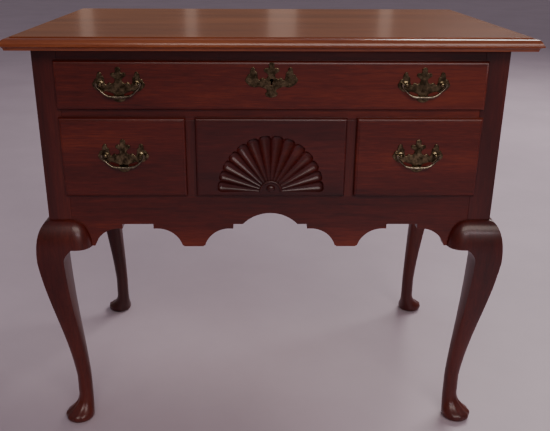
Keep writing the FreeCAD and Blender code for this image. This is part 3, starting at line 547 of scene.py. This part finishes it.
def legs():
    """One leg, carved from its post down, and a copy turned for each corner."""
    left, front, rear, top = case_edges()
    carved = smooth(drawn_out("carved_leg", leg_rings()), 50)
    post = block("square_post", (0, 0, LEDGE * MM), (POST * MM, POST * MM, top))
    leg = joined("leg", carved, smooth(bevelled(post, 0.7)))
    corners = {
        "leg_front_left": (left, front, 0),
        "leg_front_right": (-left, front, 90),
        "leg_rear_right": (-left, rear, 180),
        "leg_rear_left": (left, rear, 270),
    }
    for node, (x, y, degrees) in corners.items():
        piece = copy_at(leg, f"{node}_finished", (x, y, 0), degrees)
        finish(piece, CHERRY_UPRIGHT, "case", "case_wood", node)
    put_away(leg)


def knee_block_rings(way):
    """Slices of a knee block from the post outwards; way is the side it grows to.

    Beside the post its face is the knee's own. Further out its top comes down
    in a curve, and the face rolls back to the case there and at the end."""
    inside_post, behind, thinnest = 1, 0.02, 0.3
    rings = []
    for step in range(25):
        share = math.sin(math.pi / 2 * step / 24)
        top = BLOCK_FOOT + 1 + (LEDGE - BLOCK_FOOT - 1) * (1 - share ** 2.2) ** (1 / 2)
        ring = [(BLOCK_FOOT, behind)]
        for rise in range(21):
            height = BLOCK_FOOT + (top - BLOCK_FOOT) * math.sin(math.pi / 2 * rise / 20)
            lift = min(LEDGE, LEDGE - (top - height))
            depth = knee_profile(lift) * (1 - share ** 3.2) ** (1 / 2.2)
            ring.append((height, max(depth, thinnest)))
        ring.append((top, behind))
        along = POST - inside_post + (BLOCK_WIDTH + inside_post) * share
        rings.append([Vector((along * way, -depth, height)) * MM for height, depth in ring])
    return rings


def knee_blocks():
    """The blocks that carry each knee's line along the apron and the sides."""
    left, front, rear, _ = case_edges()
    places = {
        "knee_block_front_left": (left, front, 0, 1),
        "knee_block_front_right": (-left, front, 0, -1),
        "knee_block_side_front_left": (left, front, 270, -1),
        "knee_block_side_front_right": (-left, front, 90, 1),
        "knee_block_side_rear_right": (-left, rear, 90, -1),
        "knee_block_side_rear_left": (left, rear, 270, 1),
    }
    patterns = {way: smooth(drawn_out("knee_block", knee_block_rings(way)), 50) for way in (-1, 1)}
    for node, (x, y, degrees, way) in places.items():
        piece = copy_at(patterns[way], f"{node}_finished", (x, y, 0), degrees)
        finish(piece, CHERRY_UPRIGHT, "case", "case_wood", node)
    put_away(*patterns.values())


# ---- the fan drawer's front ----------------------------------------------

def lipped_board(name, low, high):
    """A board whose front edges are rounded over, with a small step from there
    up to its flat face."""
    round_over, step = LIP_ROUND * MM, LIP_STEP * MM
    board = block(name, (low.x, low.y + round_over + step, low.z), high)
    open_up(board)
    bpy.ops.mesh.select_all(action="DESELECT")
    mesh = bmesh.from_edit_mesh(board.data)
    min(mesh.faces, key=lambda face: face.calc_center_median().y).select_set(True)
    bmesh.update_edit_mesh(board.data)
    steps = 6
    for number in range(steps):
        here, there = (math.pi / 2 * share / steps for share in (number, number + 1))
        inward = round_over * (math.cos(here) - math.cos(there))
        forward = round_over * (math.sin(there) - math.sin(here))
        bpy.ops.mesh.inset(thickness=inward, depth=0)
        bpy.ops.transform.translate(value=(0, -forward, 0))
    # The step stands a hair inside the round.
    bpy.ops.mesh.inset(thickness=0.05 * MM, depth=0)
    bpy.ops.mesh.extrude_region_move(TRANSFORM_OT_translate={"value": (0, -step, 0)})
    bpy.ops.object.mode_set(mode="OBJECT")
    return board


def flute_stations(reach):
    """A flute from the hub outwards: how far along, half its width, its depth.

    It widens a little more than its rays do, is deepest just before its outer
    end, and closes there in a steep round."""
    straight = reach * 0.91
    half_spread = math.pi / FLUTES / 2
    stations = []
    for step in range(9):
        share = step / 8
        along = FAN_HUB + (straight - FAN_HUB) * share
        width = along * math.sin(half_spread) * (0.985 + 0.12 * share ** 3)
        stations.append((along, width, FLUTE_DEPTH * (along / reach) ** 1.4))
    _, width, depth = stations[-1]
    for step in range(1, 8):
        turn = math.pi / 2 * step / 8
        narrow = math.cos(turn) ** 0.6
        stations.append((straight + (reach - straight) * math.sin(turn), width * narrow, depth * narrow))
    return stations


def gouge(centre, angle):
    """The solid that cuts one flute, along a ray at an angle from the right."""
    reach = 1 / math.hypot(math.cos(angle) / FAN_HALF, math.sin(angle) / FAN_HEIGHT)
    ray = Vector((math.cos(angle), 0, math.sin(angle)))
    across = Vector((-math.sin(angle), 0, math.cos(angle)))
    out = Vector((0, -1, 0))
    rings = []
    for along, width, depth in flute_stations(reach):
        radius = max((width ** 2 + depth ** 2) / (2 * depth), depth * 1.02)
        middle = centre + (ray * along + out * (radius - depth)) * MM
        sweep = [across * math.cos(turn) + out * math.sin(turn) for turn in turns(40)]
        rings.append([middle + spoke * radius * MM for spoke in sweep])
    return drawn_out("gouge", rings)


def fan_boss(centre):
    """A half ring and a small button where the rays spread from."""
    proud = 0.8
    rings = []
    for number in range(33):
        turn = math.pi * number / 32
        ray = Vector((math.cos(turn), 0, math.sin(turn)))
        ring = []
        for around in turns(16):
            out = ray * math.cos(around) * FAN_RING_TUBE
            out += Vector((0, -1, 0)) * (math.sin(around) * FAN_RING_TUBE + proud)
            ring.append(centre + (ray * FAN_RING + out) * MM)
        rings.append(ring)
    half_ring = drawn_out("fan_ring", rings)
    nothing_selected()
    place = centre + Vector((0, 0, FAN_BUTTON_RISE * MM))
    bpy.ops.mesh.primitive_uv_sphere_add(segments=32, ring_count=16, radius=1, location=place)
    button = named("fan_button")
    button.scale = Vector(FAN_BUTTON) * MM
    boss = smooth(joined("fan_boss", half_ring, settle(button)), 60)
    finish(boss, CHERRY_FAN, "fan_drawer", "case_wood")


def fan_front():
    """The middle small drawer's front: a lipped board with the fan carved in,
    behind it the part that fits the opening, and last the part that lies
    between the drawer's sides."""
    low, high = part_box("fan_drawer_front")
    side_low, side_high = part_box("fan_drawer_sides")
    back_low, back_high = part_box("fan_drawer_back")
    lip_back, overlap = low.y + LIP * MM, 0.1 * MM
    board = lipped_board("fan_drawer_front_finished", low, (high.x, lip_back, high.z))
    inner_low = (side_low.x, lip_back - overlap, side_low.z)
    inner = block("fan_inner", inner_low, (side_high.x, side_low.y, side_high.z))
    rear_low = (back_low.x, side_low.y - overlap, side_low.z)
    rear = block("fan_rear", rear_low, (back_high.x, high.y, side_high.z))
    centre = Vector((0, low.y, low.z + FAN_RISE * MM))
    for number in range(FLUTES):
        cutter = gouge(centre, math.pi / FLUTES * (number + 0.5))
        worked(board, "BOOLEAN", operation="DIFFERENCE", solver="EXACT", object=cutter)
        put_away(cutter)
    board = smooth(joined("fan_drawer_front_finished", merged(board), inner, rear), 28)
    finish(board, CHERRY_FAN, "fan_drawer", "case_wood", "fan_drawer_front")
    fan_boss(centre)


# ---- case and drawers ----------------------------------------------------

def soften(node):
    """Stands a soft-edged copy of a CAD node in its place."""
    piece = smooth(bevelled(copy_of(node, f"{node}_finished"), 0.6))
    finish(piece, finish_for(node), BODY_OF[node], SLOT_OF[node], node)


def dress(node):
    """Leaves a CAD node as it is and gives it its finish."""
    piece = frame["nodes"][node]
    piece.data.materials.clear()
    piece.data.materials.append(finish_for(node))


def case_and_drawers():
    """Softens the pieces that show, dresses those inside, and carves the rest."""
    for node in frame["nodes"]:
        carved = node == "fan_drawer_front" or node.startswith(("leg_", "knee_block"))
        if carved or SLOT_OF[node] == "brass":
            continue
        if SLOT_OF[node] in ("case_wood", "top_wood"):
            soften(node)
        else:
            dress(node)
    legs()
    knee_blocks()
    fan_front()


# ---- brasses -------------------------------------------------------------

# Right half of a bat-wing plate from the pendant's tip to the finial's, in
# millimetres from its middle; the last value is true at a sharp point.
BATWING = (
    (0, -28.5, False), (5, -27.6, False), (9.5, -24.8, False), (10.5, -21.5, True), (7.6, -18.6, True),
    (9, -14.6, False), (14, -12, True), (21, -9.8, True), (28, -11.4, False), (35, -9.6, True),
    (40.5, -5.2, False), (44, 0.6, False), (41.6, 5.4, True), (39.6, 9.4, False), (36, 11, True),
    (35.6, 16, False), (33.6, 20.4, False), (30.4, 22.2, False), (27.6, 19.4, False), (27.2, 15.6, True),
    (24.4, 13.4, False), (23.6, 9.4, True), (22.8, 4.2, False), (20.2, 0.8, False), (17.8, 3.4, False),
    (14.6, 4.6, False), (11.6, 2.4, True), (7.2, 4.8, False), (5.6, 9.8, True), (8.8, 12.8, False),
    (12.2, 15, False), (12.6, 18.6, False), (9.4, 20.6, False), (5.4, 20.4, True), (4.4, 23.6, False),
    (4.8, 26.4, False), (2.8, 29.2, False), (0, 30, False),
)

# A pull's post, turned like a small baluster, with its shank: how far out of
# the drawer's face, and radius there.
POST_PROFILE = (
    (-30, SHANK_RADIUS), (1.55, SHANK_RADIUS), (1.6, 2.2), (1.6, 5.6), (2.1, 5.5), (2.6, 4.6), (3, 3.2),
    (3.8, 2.7), (4.8, 3.4), (5.8, 4.1), (7.2, 4.35), (8.6, 4.1), (9.6, 3.4), (10.3, 2.2), (10.6, 0.8),
)

# Right half of a bail's middle line, from its lowest point to its eye.
BAIL_LINE = (
    (0, -21.2), (6, -21.1), (12, -20.7), (17, -19.8), (21, -18.2), (24.4, -15.8), (27.4, -13), (30.4, -10.2),
    (33.2, -7.3), (35.3, -4.4), (36.3, -1.6), (36.4, 0), (36.4, 2.3),
)


def cut_plate(name, loops):
    """A flat plate with rounded edges from loops of (x, z, sharp)."""
    shape = bpy.data.curves.new(name, "CURVE")
    shape.dimensions = "2D"
    shape.fill_mode = "BOTH"
    shape.resolution_u = 5
    for loop in loops:
        spline = shape.splines.new("BEZIER")
        spline.bezier_points.add(len(loop) - 1)
        spline.use_cyclic_u = True
        for point, (x, z, sharp) in zip(spline.bezier_points, loop):
            point.co = (x * MM, z * MM, 0)
            kind = "VECTOR" if sharp else "AUTO"
            point.handle_left_type = kind
            point.handle_right_type = kind
    shape.extrude = (PLATE_HALF - PLATE_EDGE) * MM
    shape.bevel_depth = PLATE_EDGE * MM
    shape.bevel_resolution = 3
    shape.offset = -PLATE_EDGE * MM
    only(added(name, shape))
    bpy.ops.object.convert(target="MESH")
    return bpy.context.object


def keyhole():
    """A round hole with a slot below it."""
    loop = []
    for step in range(13):
        turn = math.radians(-60 + 300 * step / 12)
        loop.append((KEYHOLE_RADIUS * math.cos(turn), KEYHOLE_RADIUS * math.sin(turn), False))
    return loop + [(way * KEYHOLE_SLOT_HALF, -KEYHOLE_DROP, True) for way in (-1, 1)]


def batwing_plate(*holes):
    """A cast plate in the outline of a bat's spread wings, its back at y 0."""
    left = [(-x, z, sharp) for x, z, sharp in reversed(BATWING[1:-1])]
    plate = cut_plate("batwing_plate", [list(BATWING) + left, *holes])
    forward = Matrix.Translation((0, -PLATE_HALF * MM, 0))
    plate.data.transform(forward @ Matrix.Rotation(math.pi / 2, 4, "X"))
    return smooth(plate, 40)


def plate_place(node):
    """Where the middle of a plate's back lies on its drawer."""
    low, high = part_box(node)
    pendant = -BATWING[0][1]
    return Vector(((low.x + high.x) / 2, high.y, low.z + pendant * MM))


def turned_post():
    """A pull's post, with its shank and, behind the drawer front, its nut."""
    rings = []
    for out, radius in POST_PROFILE:
        circle = [Vector((radius * math.cos(turn), -out, radius * math.sin(turn))) for turn in turns(28)]
        rings.append([point * MM for point in circle])
    post = drawn_out("post", rings)
    half, behind = NUT_HALF * MM, FRONT * MM
    nut = block("nut", (-half, behind, -half), (half, behind + NUT_THICKNESS * MM, half))
    return joined("post", post, bevelled(nut, 0.5))


def both_sides(pattern, apart):
    """Two copies of a pattern, to the left and right of the middle."""
    left = copy_at(pattern, f"{pattern.name}_left", (-apart * MM, 0, 0))
    right = copy_at(pattern, f"{pattern.name}_right", (apart * MM, 0, 0))
    put_away(pattern)
    return left, right


def bail_radius(across):
    """A bail's radius at a distance to the side of its middle: a stout lower
    bar, slim arms, and a knuckle at each end."""
    arm_starts, knuckle_starts = 30, 36
    if across > knuckle_starts:
        return KNUCKLE_RADIUS
    share = max(0, 1 - across / arm_starts)
    return ARM_RADIUS + BAR_SWELL * min(1, share * 2.2) ** 1.5


def swung_bail():
    """A bail with the pins it swings on, its axis through the origin."""
    line = [(-x, z) for x, z in reversed(BAIL_LINE[1:])] + list(BAIL_LINE)
    rings = []
    for number, (x, z) in enumerate(line):
        before, after = line[max(number - 1, 0)], line[min(number + 1, len(line) - 1)]
        along = Vector((after[0] - before[0], 0, after[1] - before[1])).normalized()
        side, deep = Vector((along.z, 0, -along.x)), Vector((0, 1, 0))
        spokes = [(side * math.cos(turn) + deep * math.sin(turn)) * bail_radius(abs(x)) for turn in turns(20)]
        rings.append([(Vector((x, 0, z)) + spoke) * MM for spoke in spokes])
    bar = drawn_out("bail", rings)
    nothing_selected()
    bpy.ops.mesh.primitive_cylinder_add(
        vertices=20, radius=PIN_RADIUS * MM, depth=PIN_LENGTH * MM, rotation=(0, math.pi / 2, 0))
    pins = both_sides(settle(named("pin")), PIN_PLACE)
    return smooth(joined("bail", bar, *pins), 40)


def pull(name, plate, posts, bail):
    """A bat-wing pull, copied from the patterns of its pieces."""
    plate_node, posts_node, bail_node = f"{name}_plate", f"{name}_posts", f"{name}_bail"
    body = BODY_OF[plate_node]
    plate = copy_at(plate, f"{plate_node}_finished", plate_place(plate_node))
    finish(plate, BRASS, body, "brass", plate_node)
    low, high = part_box(posts_node)
    middle = Vector(((low.x + high.x) / 2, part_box(plate_node)[1].y, (low.z + high.z) / 2))
    posts = copy_at(posts, f"{posts_node}_finished", middle)
    finish(posts, BRASS, body, "brass", posts_node)
    bail = copy_at(bail, f"{bail_node}_finished", middle + Vector((0, -PIVOT_REACH * MM, 0)))
    finish(bail, HANDLED_BRASS, BODY_OF[bail_node], "brass", bail_node)


def brasses():
    """The four pulls and the long drawer's escutcheon."""
    posts = smooth(joined("posts", *both_sides(turned_post(), POSTS_HALF)), 40)
    patterns = (batwing_plate(), posts, swung_bail())
    for plate_node in [node for node in frame["nodes"] if node.endswith("_pull_plate")]:
        pull(plate_node.removesuffix("_plate"), *patterns)
    pierced = batwing_plate(keyhole())
    escutcheon = copy_at(pierced, "escutcheon_finished", plate_place("escutcheon"))
    finish(escutcheon, BRASS, BODY_OF["escutcheon"], "brass", "escutcheon")
    put_away(pierced, *patterns)


# ---- floor, light and camera ---------------------------------------------

def floor():
    """A plain floor, most of it behind the lowboy."""
    nothing_selected()
    bpy.ops.mesh.primitive_plane_add(size=60, location=(0, 12, 0))
    ground = settle(named("floor"))
    ground.data.materials.append(floor_finish())


def area_light(name, place, aim, size, watts, colour):
    """A glowing rectangle at a place, facing the point it is aimed at."""
    lamp = bpy.data.lights.new(name, "AREA")
    lamp.shape = "RECTANGLE"
    lamp.size, lamp.size_y = size
    lamp.energy = watts
    lamp.color = linear(colour)[:3]
    holder = added(name, lamp)
    holder.location = place
    holder.rotation_euler = (Vector(aim) - Vector(place)).to_track_quat("-Z", "Y").to_euler()
    return holder


def lights():
    """Two broad panels, and narrower lights that show in the polish."""
    area_light("ceiling_panel_front", (0.5, -2.6, 2.3), (0, 0, 0.4), (2.4, 1.0), 36, "#fff0e6")
    area_light("ceiling_panel_back", (2.2, 2.6, 2.9), (0.7, 0.4, 0.3), (2.6, 1.2), 92, "#fff6f2")
    # This strip only shows in the polish, as a far window would.
    window = area_light("window_in_front", (0.9, -3.4, 1.5), (0.2, -0.3, 0.75), (1.6, 0.3), 15, "#f4e6ee")
    window.visible_diffuse = False
    # Tall narrow lamps behind, as bright as they are wide.
    for number, (x, width) in enumerate(((-1.31, 0.1), (-0.51, 0.09), (0.19, 0.22), (0.98, 0.1))):
        area_light(f"tall_lamp_{number}", (x, 4.2, 1.2), (x * 0.3, 0, 0.75), (width, 1.6), width, "#ffe2d2")


def room():
    """Soft light from all round, warm and dim below, cool and pale above.

    The camera sees a plain pale wall instead, behind the floor's far edge."""
    world = bpy.data.worlds.new("room")
    world.use_nodes = True
    world.node_tree.nodes.clear()
    bpy.context.scene.world = world
    direction = add_node(world, "ShaderNodeTexCoord").outputs["Generated"]
    height = add_node(world, "ShaderNodeSeparateXYZ", {"Vector": direction}).outputs["Z"]
    shade = add_node(world, "ShaderNodeValToRGB", {"Fac": height},
                     stops=((0.1, "#bc957c"), (0.45, "#d8d0dc"))).outputs["Color"]
    seen = add_node(world, "ShaderNodeLightPath").outputs["Is Camera Ray"]
    wall = add_node(world, "ShaderNodeMix", {0: seen, 6: shade, 7: linear("#c8bec6")},
                    data_type="RGBA").outputs[2]
    sky = add_node(world, "ShaderNodeBackground", {"Color": wall, "Strength": 0.3})
    add_node(world, "ShaderNodeOutputWorld", {"Surface": sky.outputs["Background"]})


def camera():
    """In front and above the top, a little left of the middle, looking down."""
    lens = bpy.data.cameras.new("camera")
    lens.sensor_fit = "HORIZONTAL"
    lens.sensor_width = 36
    lens.lens = 46.52
    lens.shift_x = 0.02483
    lens.shift_y = 0.01328
    holder = added("camera", lens)
    holder.location = (-0.02945, -1.44011, 0.9028)
    holder.rotation_euler = [math.radians(turn) for turn in (68.537, -0.201, -0.559)]
    bpy.context.scene.camera = holder


case_and_drawers()
brasses()
floor()
lights()
room()
camera()
